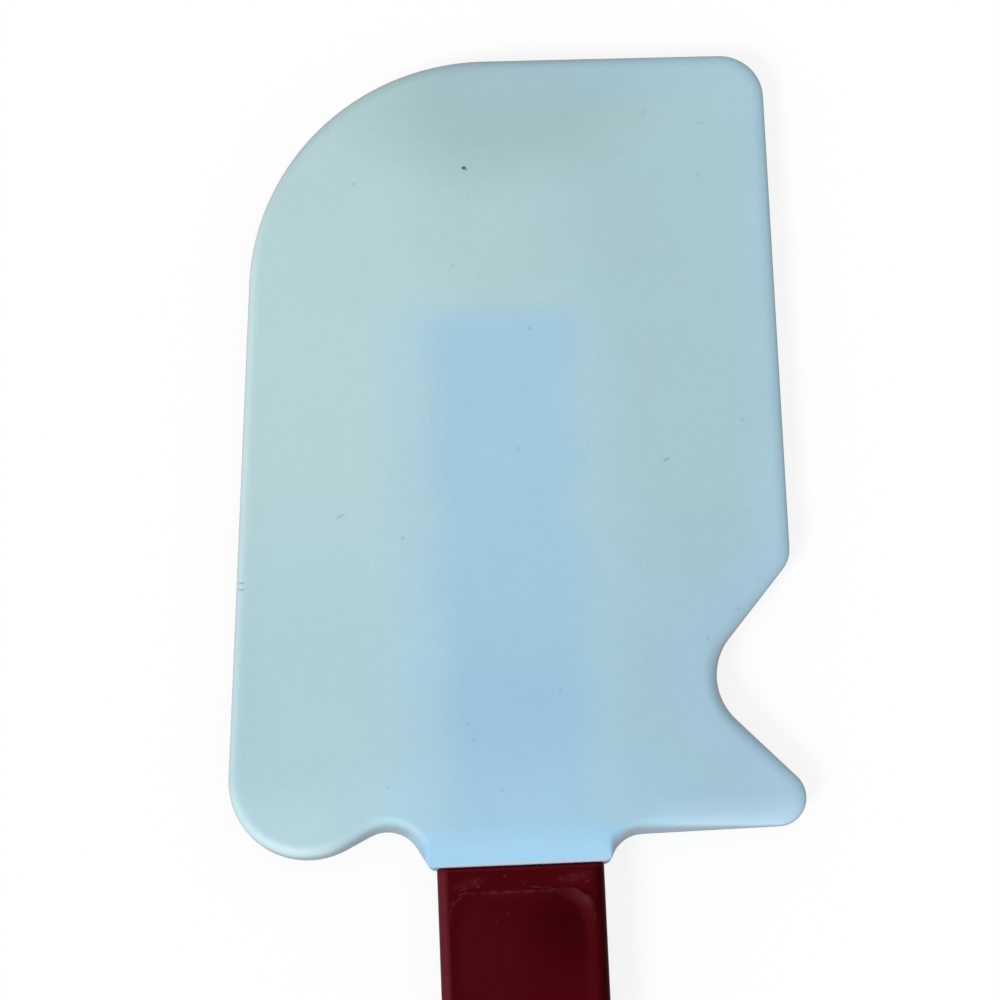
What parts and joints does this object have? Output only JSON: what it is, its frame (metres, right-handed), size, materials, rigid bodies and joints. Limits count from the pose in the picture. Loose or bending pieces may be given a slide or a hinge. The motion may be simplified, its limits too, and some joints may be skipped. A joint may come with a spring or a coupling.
{
  "type": "silicone spatula",
  "caption": "Flat kitchen scraper: pale silicone blade with a rounded corner, a lobe and a notched side, moulded on the tongue of a slim red-brown handle with a hanging hole.",
  "frame": {"origin": "centre of the hanging hole at half thickness, on the handle's axis", "axes": "+Y up the handle to the blade's top edge, +X to the notched side of the blade, +Z out of the front face; it lies flat on its back"},
  "size_m": [0.0759, 0.3431, 0.008],
  "materials": {
    "silicone": "satin, slightly translucent pale ice-blue silicone",
    "nylon": "moulded dark maroon nylon, soft gloss with light scuffs"
  },
  "bodies": {
    "root": {"blade": "silicone", "handle": "nylon"}
  },
  "joints": []
}
